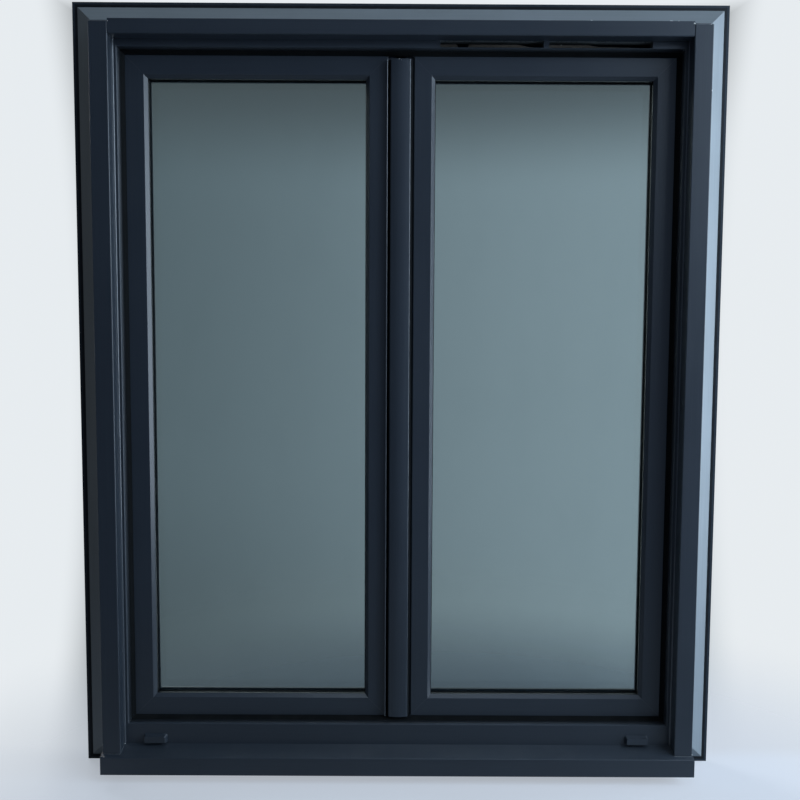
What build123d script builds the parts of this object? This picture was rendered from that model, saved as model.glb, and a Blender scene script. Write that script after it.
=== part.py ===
"""Two-leaf PVC window with a covering wing, a surround trim and a sill. Sizes in mm.

Seen from outside, X runs right, Y runs into the room and Z runs up. The origin is on the
wall face of the bottom wing strip, at the middle of its length.
"""

import os

from build123d import *

# Clear opening of the frame, between its inner edges
opening_width = 941.0
opening_height = 1153.0

# Frame profile
frame_depth = 60.0
frame_face = 44.0
leg_thickness = 15.0
rebate_depth = 20.0
frame_bevel_width = 2.2
frame_bevel_depth = 6.0
frame_bevel_radius = 0.8

# Wing that covers the wall round the frame, and the strip along its edge
wing_reach = 51.0
wing_root = 31.0
strip_width = 9.0
strip_thickness = 5.0
strip_radius = 1.2

# Slots for the air inlet in the frame's head
slot_length = 172.0
slot_height = 11.0
slot_bridge = 9.0
slot_rise = 2.6
slot_start = 65.0

# Seal between the frame and the leaves
seal_reach = 5.6
seal_nose = 1.6
seal_lip = 1.2
seal_foot = 5.0
seal_cover = 3.5

# Surround trim on the frame's face
trim_width = 31.2
trim_projection = 23.0
trim_wall = 3.0
trim_inner_radius = 2.0
trim_outer_radius = 1.0
side_reveal = 8.3
head_reveal = 13.8
head_trim_height = 24.6
upright_rise = 20.0

# Sill
sill_drop = 37.8
sill_projection = 30.4
sill_fall = 10.7
sill_nose = 30.7
sill_wall = 3.0
sill_seat = 25.0
sill_under = 22.0
sill_nose_radius = 2.0
sill_cap_thickness = 2.0
sill_end_inset = 2.4

# Drain caps on the bottom rail
drain_cap_width = 42.0
drain_cap_height = 17.0
drain_cap_depth = 8.0
drain_cap_wall = 1.5
drain_cap_corner = 4.5
drain_cap_gap = 35.8
drain_cap_shift = -2.8
drain_cap_clearance = 1.0
drain_cap_taper = 22.0

# Leaf profile
leaf_setback = 20.0
leaf_depth = 60.0
leaf_overlap = 8.0
leaf_body = 30.0
leaf_face = 44.5
leaf_bevel_width = 6.0
leaf_bevel_depth = 6.0
leaf_lip_depth = 4.0
leaf_edge_radius = 1.0
flange_reach = 20.0
flange_gap = 3.0
flange_radius = 3.0
meeting_gap = 16.0
meeting_rebate_width = 13.4
meeting_rebate_depth = 4.0
meeting_bevel = 2.2

# Glazing
gasket_reach = 1.3
gasket_thickness = 5.0
pane_thickness = 4.0
pane_gap = 16.0
glass_clearance = 4.0
spacer_inset = 2.0
spacer_width = 7.0
bead_width = 17.0
bead_lip = 5.0
bead_slope = 9.0
bead_recess = 1.5
bead_radius = 1.5

# Cover strips, seals and core between the leaves
cover_half_width = 17.0
cover_edge = 6.0
cover_crown = 2.2
cover_gap = 3.0
cover_radius = 2.0
cover_foot_gap = 1.6
cover_head_gap = 7.0
centre_seal_reach = 4.2
core_width = 11.0
room_strip_half_width = 30.0
room_strip_thickness = 8.0
room_strip_end_gap = 6.0
room_strip_radius = 3.0

# Handle on the room-side strip
rosette_width = 30.0
rosette_height = 66.0
rosette_thickness = 10.0
rosette_corner = 8.0
rosette_edge = 2.5
neck_radius = 8.0
neck_length = 26.0
grip_length = 128.0
grip_width = 20.0
grip_thickness = 13.0
grip_edge = 4.0

# Hinges on the room side
hinge_radius = 7.0
hinge_length = 80.0
hinge_from_end = 120.0
hinge_stand_off = 1.0

# Heights and depths worked out from the sizes above
body_half_width = opening_width / 2 + frame_face
opening_bottom = frame_face + wing_reach - strip_width / 2
opening_top = opening_bottom + opening_height
body_bottom = opening_bottom - frame_face
frame_back = strip_thickness
frame_front = frame_back - frame_depth
leg_back = frame_front + leg_thickness
leaf_front = frame_front + leaf_setback
leaf_back = leaf_front + leaf_depth
flange_front = frame_back + flange_gap
lip_front = leaf_front + leaf_bevel_depth
gasket_front = lip_front + leaf_lip_depth
glass_front = gasket_front + gasket_thickness
glass_back = glass_front + 2 * pane_thickness + pane_gap
sight_inset = leaf_face + leaf_bevel_width + gasket_reach
pane_inset = leaf_body + glass_clearance

SIDES = ("head", "bottom_rail", "left_jamb", "right_jamb")

frame_opening = (-opening_width / 2, opening_width / 2, opening_bottom, opening_top)
leaf_outlines = {
    "left": (
        -opening_width / 2 - leaf_overlap,
        -meeting_gap / 2,
        opening_bottom - leaf_overlap,
        opening_top + leaf_overlap,
    ),
    "right": (
        meeting_gap / 2,
        opening_width / 2 + leaf_overlap,
        opening_bottom - leaf_overlap,
        opening_top + leaf_overlap,
    ),
}


def side_plane(outline, side):
    """Section plane halfway along one side: x points away from the opening, y into the room."""
    left, right, bottom, top = outline
    across, up = (left + right) / 2, (bottom + top) / 2
    planes = {
        "head": ((across, 0, top), (0, 0, 1), (-1, 0, 0)),
        "bottom_rail": ((across, 0, bottom), (0, 0, -1), (1, 0, 0)),
        "left_jamb": ((left, 0, up), (-1, 0, 0), (0, 0, -1)),
        "right_jamb": ((right, 0, up), (1, 0, 0), (0, 0, 1)),
    }
    origin, x_dir, z_dir = planes[side]
    return Plane(origin=origin, x_dir=x_dir, z_dir=z_dir)


def mitre_planes(outline, side):
    """The two 45 degree planes at the ends of one side, each facing the side's middle."""
    left, right, bottom, top = outline
    ends = {
        "head": (((left, 0, top), (1, 0, 1)), ((right, 0, top), (-1, 0, 1))),
        "bottom_rail": (((left, 0, bottom), (1, 0, -1)), ((right, 0, bottom), (-1, 0, -1))),
        "left_jamb": (((left, 0, top), (-1, 0, -1)), ((left, 0, bottom), (-1, 0, 1))),
        "right_jamb": (((right, 0, top), (1, 0, -1)), ((right, 0, bottom), (1, 0, 1))),
    }
    return [Plane(origin=corner, z_dir=facing) for corner, facing in ends[side]]


def facade_plane(depth):
    """Plane across the window at a depth: x right, y up, extruded towards the room by minus."""
    return Plane.XZ.offset(-depth)


def mitred_side(section, outline, side):
    """One side of a welded frame: a section of (x, y, corner radius) cut at 45 degrees."""
    left, right, bottom, top = outline
    reach = max(point[0] for point in section)
    half_run = max(right - left, top - bottom) / 2 + max(reach, 0) + 1
    with BuildPart() as member:
        with BuildSketch(side_plane(outline, side)):
            with BuildLine():
                FilletPolyline(
                    *[(x, y) for x, y, radius in section],
                    radius=[radius for x, y, radius in section],
                    close=True,
                )
            make_face()
        extrude(amount=half_run, both=True)
        for mitre in mitre_planes(outline, side):
            split(bisect_by=mitre, keep=Keep.TOP)
    return member


def ring(section, outline):
    """A closed strip that runs round an outline with mitred corners."""
    left, right, bottom, top = outline
    middle = (left + right) / 2
    with BuildPart() as loop:
        with BuildLine() as path:
            Polyline(
                (middle, 0, bottom),
                (right, 0, bottom),
                (right, 0, top),
                (left, 0, top),
                (left, 0, bottom),
                (middle, 0, bottom),
            )
        with BuildSketch(side_plane(outline, "bottom_rail")):
            with BuildLine():
                Polyline(*section, close=True)
            make_face()
        sweep(path=path.wires()[0], transition=Transition.RIGHT)
    return loop


def inset(outline, amount):
    """An outline drawn in by the same amount on all four sides."""
    left, right, bottom, top = outline
    return (left + amount, right - amount, bottom + amount, top - amount)


def sheet(outline, front, thickness):
    """A flat plate across an outline."""
    left, right, bottom, top = outline
    with BuildPart() as plate:
        with BuildSketch(facade_plane(front)):
            with Locations(((left + right) / 2, (bottom + top) / 2)):
                Rectangle(right - left, top - bottom)
        extrude(amount=-thickness)
    return plate


def pair(first, second):
    """Two like pieces that share one node."""
    with BuildPart() as both:
        add(first.part)
        add(second.part)
    return both


def keep(piece, name):
    """Labels a finished piece and writes it to its own file."""
    piece.part.label = name
    export_step(piece.part, f"parts/{name}.step")


os.makedirs("parts", exist_ok=True)

# Outer frame: one section round all four sides, slotted at the head
strip_start = frame_face + wing_reach - strip_width
frame_section = [
    (frame_bevel_width, frame_front, frame_bevel_radius),
    (0, frame_front + frame_bevel_depth, frame_bevel_radius),
    (0, leg_back, 0),
    (rebate_depth, leg_back, 0),
    (rebate_depth, frame_back, 0),
    (strip_start, frame_back, 0),
    (strip_start, frame_back - strip_thickness, 0),
    (frame_face, frame_back - wing_root, 0),
    (frame_face, frame_front, 0),
]
slot_pitch = slot_length + slot_bridge
slot_middle = slot_start + slot_length + slot_bridge / 2
for side in SIDES:
    member = mitred_side(frame_section, frame_opening, side)
    if side == "head":
        with BuildPart() as slotted_head:
            add(member.part)
            with BuildSketch(facade_plane(frame_front)):
                with Locations((slot_middle, opening_top + slot_rise + slot_height / 2)):
                    with GridLocations(slot_pitch, 0, 2, 1):
                        Rectangle(slot_length, slot_height)
            extrude(amount=-leg_thickness, mode=Mode.SUBTRACT)
        member = slotted_head
    keep(member, f"frame_{side}")

# Strip along the wing's edge, flat on the wall side
strip_section = [
    (strip_start, frame_back, 0),
    (strip_start, frame_back - strip_thickness, 0),
    (strip_start + strip_width, frame_back - strip_thickness, 0),
    (strip_start + strip_width, frame_back, strip_radius),
]
for side in SIDES:
    keep(mitred_side(strip_section, frame_opening, side), f"wing_strip_{side}")

# Seal on the frame's inner edge that the leaves close against
seal_edge = leg_back - seal_cover
seal_section = [
    (0, seal_edge),
    (-seal_nose, seal_edge + seal_nose),
    (-seal_reach, leaf_front - seal_lip),
    (-seal_reach, leaf_front),
    (-seal_reach + seal_foot, leaf_front),
    (0, leg_back),
]
keep(ring(seal_section, frame_opening), "frame_seal")

# Sill: sloped top, nose with a drip edge, and a seat under the frame
sill_top = opening_bottom - sill_drop
sill_front = frame_front - sill_projection
sill_front_top = sill_top - sill_fall
sill_base = sill_front_top - sill_under
sill_tip = sill_front_top - sill_nose
sill_back = frame_front + sill_seat
sill_outline = [
    (frame_front, sill_top, 0),
    (sill_front, sill_front_top, sill_nose_radius),
    (sill_front, sill_tip, 0),
    (sill_front + sill_wall, sill_tip, 0),
    (sill_front + sill_wall, sill_base, 0),
    (sill_back, sill_base, 0),
    (sill_back, body_bottom, 0),
    (frame_front, body_bottom, 0),
]
sill_slope = sill_fall / sill_projection
front_room = (frame_front - sill_wall, sill_front + sill_wall)
front_chamber = [
    (front_room[0], sill_top - sill_slope * (frame_front - front_room[0]) - sill_wall),
    (front_room[1], sill_top - sill_slope * (frame_front - front_room[1]) - sill_wall),
    (front_room[1], sill_base + sill_wall),
    (front_room[0], sill_base + sill_wall),
]
back_chamber = [
    (frame_front, body_bottom - sill_wall),
    (sill_back - sill_wall, body_bottom - sill_wall),
    (sill_back - sill_wall, sill_base + sill_wall),
    (frame_front, sill_base + sill_wall),
]
sill_end = body_half_width - sill_end_inset
sill_half_run = sill_end - sill_cap_thickness
with BuildPart() as sill:
    with BuildSketch(Plane.YZ):
        with BuildLine():
            FilletPolyline(
                *[(y, z) for y, z, radius in sill_outline],
                radius=[radius for y, z, radius in sill_outline],
                close=True,
            )
        make_face()
        for chamber in (front_chamber, back_chamber):
            with BuildLine():
                Polyline(*chamber, close=True)
            make_face(mode=Mode.SUBTRACT)
    extrude(amount=sill_half_run, both=True)
keep(sill, "sill")

with BuildPart() as sill_end_caps:
    for end in (-sill_end, sill_half_run):
        with BuildSketch(Plane.YZ.offset(end)):
            with BuildLine():
                FilletPolyline(
                    *[(y, z) for y, z, radius in sill_outline],
                    radius=[radius for y, z, radius in sill_outline],
                    close=True,
                )
            make_face()
        extrude(amount=sill_cap_thickness)
keep(sill_end_caps, "sill_end_caps")

# Surround trim: two channels that stand on the sill and one between them
trim_front = frame_front - trim_projection
trim_inner = opening_width / 2 + side_reveal
head_trim_bottom = opening_top + head_reveal
upright_top = head_trim_bottom + upright_rise
sill_surface = Plane(
    origin=(0, frame_front, sill_top),
    x_dir=(1, 0, 0),
    z_dir=(0, -sill_fall, sill_projection),
)
for name, hand in (("trim_left", -1), ("trim_right", 1)):
    with BuildPart() as upright:
        with BuildSketch(Plane.XY.offset(sill_base)):
            with BuildLine():
                FilletPolyline(
                    (hand * trim_inner, frame_front),
                    (hand * trim_inner, trim_front),
                    (hand * (trim_inner + trim_width), trim_front),
                    (hand * (trim_inner + trim_width), frame_front),
                    (hand * (trim_inner + trim_width - trim_wall), frame_front),
                    (hand * (trim_inner + trim_width - trim_wall), trim_front + trim_wall),
                    (hand * (trim_inner + trim_wall), trim_front + trim_wall),
                    (hand * (trim_inner + trim_wall), frame_front),
                    radius=[0, trim_inner_radius, trim_outer_radius, 0, 0, 0, 0, 0],
                    close=True,
                )
            make_face()
        extrude(amount=upright_top - sill_base)
        split(bisect_by=sill_surface, keep=Keep.TOP)
    keep(upright, name)

with BuildPart() as trim_head:
    with BuildSketch(Plane.YZ):
        with BuildLine():
            FilletPolyline(
                (frame_front, head_trim_bottom),
                (trim_front, head_trim_bottom),
                (trim_front, head_trim_bottom + head_trim_height),
                (frame_front, head_trim_bottom + head_trim_height),
                (frame_front, head_trim_bottom + head_trim_height - trim_wall),
                (trim_front + trim_wall, head_trim_bottom + head_trim_height - trim_wall),
                (trim_front + trim_wall, head_trim_bottom + trim_wall),
                (frame_front, head_trim_bottom + trim_wall),
                radius=[0, trim_inner_radius, trim_outer_radius, 0, 0, 0, 0, 0],
                close=True,
            )
        make_face()
    extrude(amount=trim_inner, both=True)
keep(trim_head, "trim_head")

# Drain caps: small hoods, open underneath
drain_cap_offset = trim_inner - drain_cap_gap - drain_cap_width / 2
drain_cap_middle = sill_top + drain_cap_clearance + drain_cap_height / 2
drain_cap_places = [
    (drain_cap_shift + hand * drain_cap_offset, drain_cap_middle) for hand in (-1, 1)
]
with BuildPart() as drain_caps:
    with BuildSketch(facade_plane(frame_front)):
        with Locations(*drain_cap_places):
            RectangleRounded(drain_cap_width, drain_cap_height, drain_cap_corner)
    extrude(amount=drain_cap_depth, taper=drain_cap_taper)
    with BuildSketch(facade_plane(frame_front)):
        with Locations(*drain_cap_places):
            with Locations((0, -drain_cap_corner)):
                Rectangle(drain_cap_width - 2 * drain_cap_corner, drain_cap_height)
    extrude(amount=drain_cap_depth - drain_cap_wall, taper=drain_cap_taper, mode=Mode.SUBTRACT)
keep(drain_caps, "drain_caps")

# Leaves: mitred profiles, panes, spacer, gasket and beads
glazed_edge = [
    (-leaf_face, leaf_front, leaf_edge_radius),
    (-leaf_face - leaf_bevel_width, lip_front, leaf_edge_radius),
    (-leaf_face - leaf_bevel_width, gasket_front, 0),
    (-leaf_body, gasket_front, 0),
    (-leaf_body, leaf_back, leaf_edge_radius),
]
leaf_section = glazed_edge + [
    (flange_reach, leaf_back, flange_radius),
    (flange_reach, flange_front, 0),
    (0, flange_front, 0),
    (0, leaf_front, leaf_edge_radius),
]
meeting_floor = leaf_front + meeting_rebate_depth
meeting_section = glazed_edge + [
    (0, leaf_back, 0),
    (0, meeting_floor, 0),
    (-meeting_rebate_width, meeting_floor, 0),
    (-meeting_rebate_width, leaf_front + meeting_bevel, 0),
    (-meeting_rebate_width - meeting_bevel, leaf_front, 0),
]
gasket_section = [
    (-leaf_face - leaf_bevel_width, gasket_front),
    (-sight_inset, glass_front),
    (-pane_inset, glass_front),
    (-pane_inset, gasket_front),
]
bead_section = [
    (-leaf_body, glass_back, 0),
    (-leaf_body - bead_width, glass_back, 0),
    (-leaf_body - bead_width, glass_back + bead_lip, bead_radius),
    (-leaf_body - bead_slope, leaf_back - bead_recess, bead_radius),
    (-leaf_body, leaf_back - bead_recess, 0),
]
spacer_section = [
    (0, glass_front + pane_thickness),
    (-spacer_width, glass_front + pane_thickness),
    (-spacer_width, glass_front + pane_thickness + pane_gap),
    (0, glass_front + pane_thickness + pane_gap),
]
for leaf, outline in leaf_outlines.items():
    left, right, bottom, top = outline
    hinge_side, meeting_side = ("left_jamb", "right_jamb") if leaf == "left" else ("right_jamb", "left_jamb")
    meeting_x = right if leaf == "left" else left
    meeting_face = Plane(origin=(meeting_x, 0, 0), z_dir=(meeting_x, 0, 0))
    for side, name in (("head", "top_rail"), ("bottom_rail", "bottom_rail")):
        mitred = mitred_side(leaf_section, outline, side)
        with BuildPart() as rail:
            add(mitred.part)
            split(bisect_by=meeting_face, keep=Keep.TOP)
        keep(rail, f"{leaf}_leaf_{name}")
    keep(mitred_side(leaf_section, outline, hinge_side), f"{leaf}_leaf_hinge_stile")
    keep(mitred_side(meeting_section, outline, meeting_side), f"{leaf}_leaf_meeting_stile")

    pane_outline = inset(outline, pane_inset)
    keep(sheet(pane_outline, glass_front, pane_thickness), f"{leaf}_outer_pane")
    keep(sheet(pane_outline, glass_back - pane_thickness, pane_thickness), f"{leaf}_inner_pane")
    keep(ring(spacer_section, inset(pane_outline, spacer_inset)), f"{leaf}_spacer")
    keep(ring(gasket_section, outline), f"{leaf}_glazing_gasket")

    beads = {side: mitred_side(bead_section, outline, side) for side in SIDES}
    keep(pair(beads["left_jamb"], beads["right_jamb"]), f"{leaf}_upright_beads")
    keep(pair(beads["head"], beads["bottom_rail"]), f"{leaf}_cross_beads")

# Between the leaves: outside cover strip, its seals, the core and the room-side strip
cover_bottom = opening_bottom + seal_reach + cover_foot_gap
cover_top = opening_top - seal_reach - cover_head_gap
cover_height = cover_top - cover_bottom
cover_back = leaf_front - cover_gap
with BuildPart() as outside_cover_strip:
    with BuildSketch(Plane.XY.offset(cover_bottom)) as cover_sketch:
        with BuildLine():
            Polyline(
                (cover_half_width, cover_back - cover_edge),
                (cover_half_width, cover_back),
                (-cover_half_width, cover_back),
                (-cover_half_width, cover_back - cover_edge),
            )
            ThreePointArc(
                (-cover_half_width, cover_back - cover_edge),
                (0, cover_back - cover_edge - cover_crown),
                (cover_half_width, cover_back - cover_edge),
            )
        make_face()
        fillet(cover_sketch.vertices().group_by(Axis.Y)[0], cover_radius)
    extrude(amount=cover_height)
keep(outside_cover_strip, "outside_cover_strip")

with BuildPart() as centre_seals:
    for hand in (-1, 1):
        with BuildSketch(Plane.XY.offset(cover_bottom)):
            with BuildLine():
                Polyline(
                    (hand * cover_half_width, cover_back - cover_edge + cover_radius),
                    (hand * (cover_half_width + seal_nose), cover_back - cover_edge + cover_radius + seal_nose),
                    (hand * (cover_half_width + centre_seal_reach), meeting_floor - seal_lip),
                    (hand * (cover_half_width + centre_seal_reach), meeting_floor),
                    (hand * (cover_half_width + seal_nose), meeting_floor),
                    (hand * cover_half_width, cover_back),
                    close=True,
                )
            make_face()
        extrude(amount=cover_height)
keep(centre_seals, "centre_seals")

with BuildPart() as centre_core:
    with BuildSketch(Plane.XY.offset(cover_bottom)):
        with Locations((meeting_gap / 2 - core_width / 2, (cover_back + leaf_back) / 2)):
            Rectangle(core_width, leaf_back - cover_back)
    extrude(amount=cover_height)
keep(centre_core, "centre_core")

room_strip_bottom = opening_bottom - leaf_overlap - flange_reach + room_strip_end_gap
room_strip_top = opening_top + leaf_overlap + flange_reach - room_strip_end_gap
with BuildPart() as room_cover_strip:
    with BuildSketch(Plane.XY.offset(room_strip_bottom)) as room_sketch:
        with Locations((0, leaf_back + room_strip_thickness / 2)):
            Rectangle(2 * room_strip_half_width, room_strip_thickness)
        fillet(room_sketch.vertices().group_by(Axis.Y)[-1], room_strip_radius)
    extrude(amount=room_strip_top - room_strip_bottom)
keep(room_cover_strip, "room_cover_strip")

# Handle, closed, with its grip hanging down
handle_height = (opening_bottom + opening_top) / 2
rosette_front = leaf_back + room_strip_thickness
with BuildPart() as handle_rosette:
    with BuildSketch(facade_plane(rosette_front)):
        with Locations((0, handle_height)):
            RectangleRounded(rosette_width, rosette_height, rosette_corner)
    extrude(amount=-rosette_thickness)
    fillet(handle_rosette.faces().sort_by(Axis.Y)[-1].edges(), rosette_edge)
keep(handle_rosette, "handle_rosette")

neck_front = rosette_front + rosette_thickness
with BuildPart() as handle_lever:
    with BuildSketch(facade_plane(neck_front)):
        with Locations((0, handle_height)):
            Circle(neck_radius)
    extrude(amount=-neck_length)
    with BuildSketch(facade_plane(neck_front + neck_length)):
        with Locations((0, handle_height + grip_width / 2 - grip_length / 2)):
            SlotOverall(grip_length, grip_width, rotation=90)
    extrude(amount=-grip_thickness)
    fillet(handle_lever.faces().sort_by(Axis.Y)[-1].edges(), grip_edge)
keep(handle_lever, "handle_lever")

# Hinges: a barrel and two leaves each, at the outer edge of the leaf's flange
hinge_axis_x = opening_width / 2 + leaf_overlap + flange_reach + hinge_stand_off + hinge_radius
hinge_axis_y = (flange_front + leaf_back) / 2
flange_edge = opening_width / 2 + leaf_overlap + flange_reach
hinge_heights = (
    opening_bottom - leaf_overlap + hinge_from_end,
    opening_top + leaf_overlap - hinge_from_end,
)
for leaf, hand in (("left", -1), ("right", 1)):
    with BuildPart() as hinges:
        for height in hinge_heights:
            with BuildSketch(Plane.XY.offset(height - hinge_length / 2)):
                with Locations((hand * hinge_axis_x, hinge_axis_y)):
                    Circle(hinge_radius)
                with BuildLine():
                    Polyline(
                        (hand * flange_edge, hinge_axis_y - hinge_radius / 2),
                        (hand * hinge_axis_x, hinge_axis_y - hinge_radius / 2),
                        (hand * hinge_axis_x, frame_back),
                        (hand * (hinge_axis_x + hinge_radius), frame_back),
                        (hand * (hinge_axis_x + hinge_radius), hinge_axis_y),
                        (hand * hinge_axis_x, hinge_axis_y + hinge_radius / 2),
                        (hand * flange_edge, hinge_axis_y + hinge_radius / 2),
                        close=True,
                    )
                make_face()
            extrude(amount=hinge_length)
    keep(hinges, f"{leaf}_hinges")
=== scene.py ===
import math
import random

import bmesh
import bpy
from mathutils import Matrix, Vector


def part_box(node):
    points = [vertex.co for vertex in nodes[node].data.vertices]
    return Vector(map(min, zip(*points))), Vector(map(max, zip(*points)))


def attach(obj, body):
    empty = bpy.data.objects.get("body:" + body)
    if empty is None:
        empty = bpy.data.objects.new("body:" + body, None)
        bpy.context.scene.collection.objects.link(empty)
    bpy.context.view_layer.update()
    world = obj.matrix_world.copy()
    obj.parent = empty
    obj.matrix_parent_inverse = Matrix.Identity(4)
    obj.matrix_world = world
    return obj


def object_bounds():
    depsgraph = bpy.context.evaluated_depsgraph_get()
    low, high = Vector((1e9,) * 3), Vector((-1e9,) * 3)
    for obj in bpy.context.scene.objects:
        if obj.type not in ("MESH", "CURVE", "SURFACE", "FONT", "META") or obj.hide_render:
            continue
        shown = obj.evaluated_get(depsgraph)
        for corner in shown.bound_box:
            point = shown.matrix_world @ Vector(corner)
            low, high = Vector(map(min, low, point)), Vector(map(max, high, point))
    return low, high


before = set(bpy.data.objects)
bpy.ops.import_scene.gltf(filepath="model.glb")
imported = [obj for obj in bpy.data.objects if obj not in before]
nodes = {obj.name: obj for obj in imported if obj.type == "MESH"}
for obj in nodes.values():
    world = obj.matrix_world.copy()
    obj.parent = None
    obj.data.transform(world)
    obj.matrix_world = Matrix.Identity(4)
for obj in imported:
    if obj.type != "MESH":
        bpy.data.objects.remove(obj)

# Two-leaf PVC window, seen from outside: X right, Y into the room, Z up, all in metres.
cad_low, cad_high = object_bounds()
MM = 0.001

# Outlines of the frame and the leaves, read from the CAD pieces
seal_low, seal_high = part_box("frame_seal")
opening = (seal_low.x, seal_high.x, seal_low.z, seal_high.z)
frame_face = 44 * MM
body = (
    opening[0] - frame_face, opening[1] + frame_face,
    opening[2] - frame_face, opening[3] + frame_face,
)
frame_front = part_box("trim_left")[1].y
frame_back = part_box("frame_left_jamb")[1].y
leaf_flange = 20 * MM
leaf_depth = 60 * MM
# From a leaf's outline to the wall that ends its bevel at the glass
bevel_end = 50.2 * MM
left_hinge_low, left_hinge_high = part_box("left_leaf_hinge_stile")
left_meeting_low, left_meeting_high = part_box("left_leaf_meeting_stile")
right_hinge_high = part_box("right_leaf_hinge_stile")[1]
right_meeting_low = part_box("right_leaf_meeting_stile")[0]
leaf_heights = (left_meeting_low.z, left_meeting_high.z)
leaf_outlines = {
    "left": (left_hinge_low.x + leaf_flange, left_meeting_high.x, *leaf_heights),
    "right": (right_meeting_low.x, right_hinge_high.x - leaf_flange, *leaf_heights),
}
leaf_back = left_hinge_high.y
trim_low, trim_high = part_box("trim_left")
head_trim_low, head_trim_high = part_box("trim_head")
cover_low, cover_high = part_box("outside_cover_strip")

# Slope of the sill's top, which the trim's feet are cut to
sill_fall, sill_projection = 10.7 * MM, 30.4 * MM
sill_top = opening[2] - 37.8 * MM

# Air-inlet slots in the head: left ends, length, bottom and top
slot_lefts = (65 * MM, 246 * MM)
slot_length = 172 * MM
slot_low, slot_high = opening[3] + 2.6 * MM, opening[3] + 13.6 * MM


# Node helpers

def place(tree, kind, **settings):
    """One node with its properties set."""
    node = tree.nodes.new(kind)
    for name, value in settings.items():
        setattr(node, name, value)
    return node


def feed(tree, socket, value):
    """Links a socket to another, or sets its own value."""
    if isinstance(value, bpy.types.NodeSocket):
        tree.links.new(value, socket)
    else:
        socket.default_value = value


def calc(tree, operation, *values):
    """Output of one Math node."""
    node = place(tree, "ShaderNodeMath", operation=operation)
    for socket, value in zip(node.inputs, values):
        feed(tree, socket, value)
    return node.outputs[0]


def ramp(tree, value, start, end, low=0.0, high=1.0):
    """Smooth step of a value from low at start to high at end."""
    node = place(tree, "ShaderNodeMapRange", interpolation_type="SMOOTHSTEP")
    for name, setting in (
        ("Value", value), ("From Min", start), ("From Max", end), ("To Min", low), ("To Max", high),
    ):
        feed(tree, node.inputs[name], setting)
    return node.outputs["Result"]


def tint(tree, share, first, second, blend="MIX"):
    """Colour mixed from first to second by a share."""
    node = place(tree, "ShaderNodeMix", data_type="RGBA", blend_type=blend)
    feed(tree, node.inputs[0], share)
    feed(tree, node.inputs[6], first)
    feed(tree, node.inputs[7], second)
    return node.outputs[2]


def stretched(tree, vector, scale):
    """Vector multiplied by a scale for each axis."""
    node = place(tree, "ShaderNodeVectorMath", operation="MULTIPLY")
    feed(tree, node.inputs[0], vector)
    feed(tree, node.inputs[1], scale)
    return node.outputs[0]


def noise(tree, vector, scale, detail=3.0, roughness=0.5):
    """Noise value at a scale in turns per metre."""
    node = place(tree, "ShaderNodeTexNoise")
    feed(tree, node.inputs["Vector"], vector)
    feed(tree, node.inputs["Scale"], scale)
    node.inputs["Detail"].default_value = detail
    node.inputs["Roughness"].default_value = roughness
    return node.outputs[0]


def axes(tree, vector):
    """X, Y and Z of a vector."""
    node = place(tree, "ShaderNodeSeparateXYZ")
    feed(tree, node.inputs[0], vector)
    return node.outputs


def new_group(name, inputs, outputs):
    """Shader node group with named sockets: (tree, its inputs, its output sockets)."""
    tree = bpy.data.node_groups.new(name, "ShaderNodeTree")
    for socket_name, kind, value in inputs:
        socket = tree.interface.new_socket(socket_name, in_out="INPUT", socket_type=f"NodeSocket{kind}")
        if value is not None:
            socket.default_value = value
    for socket_name, kind in outputs:
        tree.interface.new_socket(socket_name, in_out="OUTPUT", socket_type=f"NodeSocket{kind}")
    entry = tree.nodes.new("NodeGroupInput")
    leaving = tree.nodes.new("NodeGroupOutput")
    return tree, entry.outputs, leaving.inputs


def use(tree, group, **values):
    """Places a group in a material, with its inputs set; spaces in names are underscores here."""
    node = place(tree, "ShaderNodeGroup", node_tree=group)
    for name, value in values.items():
        feed(tree, node.inputs[name.replace("_", " ")], value)
    return node.outputs


# Effects that several finishes share

def make_grain():
    """Fine grain of the foil with faint streaks along the profile."""
    tree, given, made = new_group(
        "profile grain",
        [("Vector", "Vector", None), ("Along", "Vector", (1, 1, 1)), ("Grain", "Float", 900.0)],
        [("Height", "Float"), ("Shade", "Float")],
    )
    fine = noise(tree, given["Vector"], given["Grain"], 2.0)
    streak = noise(tree, stretched(tree, given["Vector"], given["Along"]), 1.0, 3.0)
    cloud = noise(tree, given["Vector"], 7.0, 2.0)
    relief = calc(tree, "ADD", calc(tree, "MULTIPLY", fine, 0.7), calc(tree, "MULTIPLY", streak, 0.3))
    feed(tree, made["Height"], relief)
    mixed = calc(tree, "ADD", calc(tree, "MULTIPLY", streak, 0.5), calc(tree, "MULTIPLY", cloud, 0.5))
    feed(tree, made["Shade"], ramp(tree, mixed, 0.3, 0.7))
    return tree


def make_mitre():
    """Line of the weld where two members of a rectangular frame meet."""
    tree, given, made = new_group(
        "mitre weld",
        [
            ("Vector", "Vector", None), ("Left", "Float", 0.0), ("Right", "Float", 1.0),
            ("Bottom", "Float", 0.0), ("Top", "Float", 1.0), ("Width", "Float", 0.0005),
        ],
        [("Weld", "Float")],
    )
    x, y, z = axes(tree, given["Vector"])
    from_left = calc(tree, "SUBTRACT", x, given["Left"])
    from_right = calc(tree, "SUBTRACT", given["Right"], x)
    from_bottom = calc(tree, "SUBTRACT", z, given["Bottom"])
    from_top = calc(tree, "SUBTRACT", given["Top"], z)
    from_side = calc(tree, "MINIMUM", from_left, from_right)
    from_end = calc(tree, "MINIMUM", from_bottom, from_top)
    apart = calc(tree, "ABSOLUTE", calc(tree, "SUBTRACT", from_side, from_end))
    waver = calc(tree, "MULTIPLY", noise(tree, given["Vector"], 160.0, 2.0), given["Width"])
    feed(tree, made["Weld"], ramp(tree, apart, waver, calc(tree, "ADD", waver, given["Width"]), 1.0, 0.0))
    return tree


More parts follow.
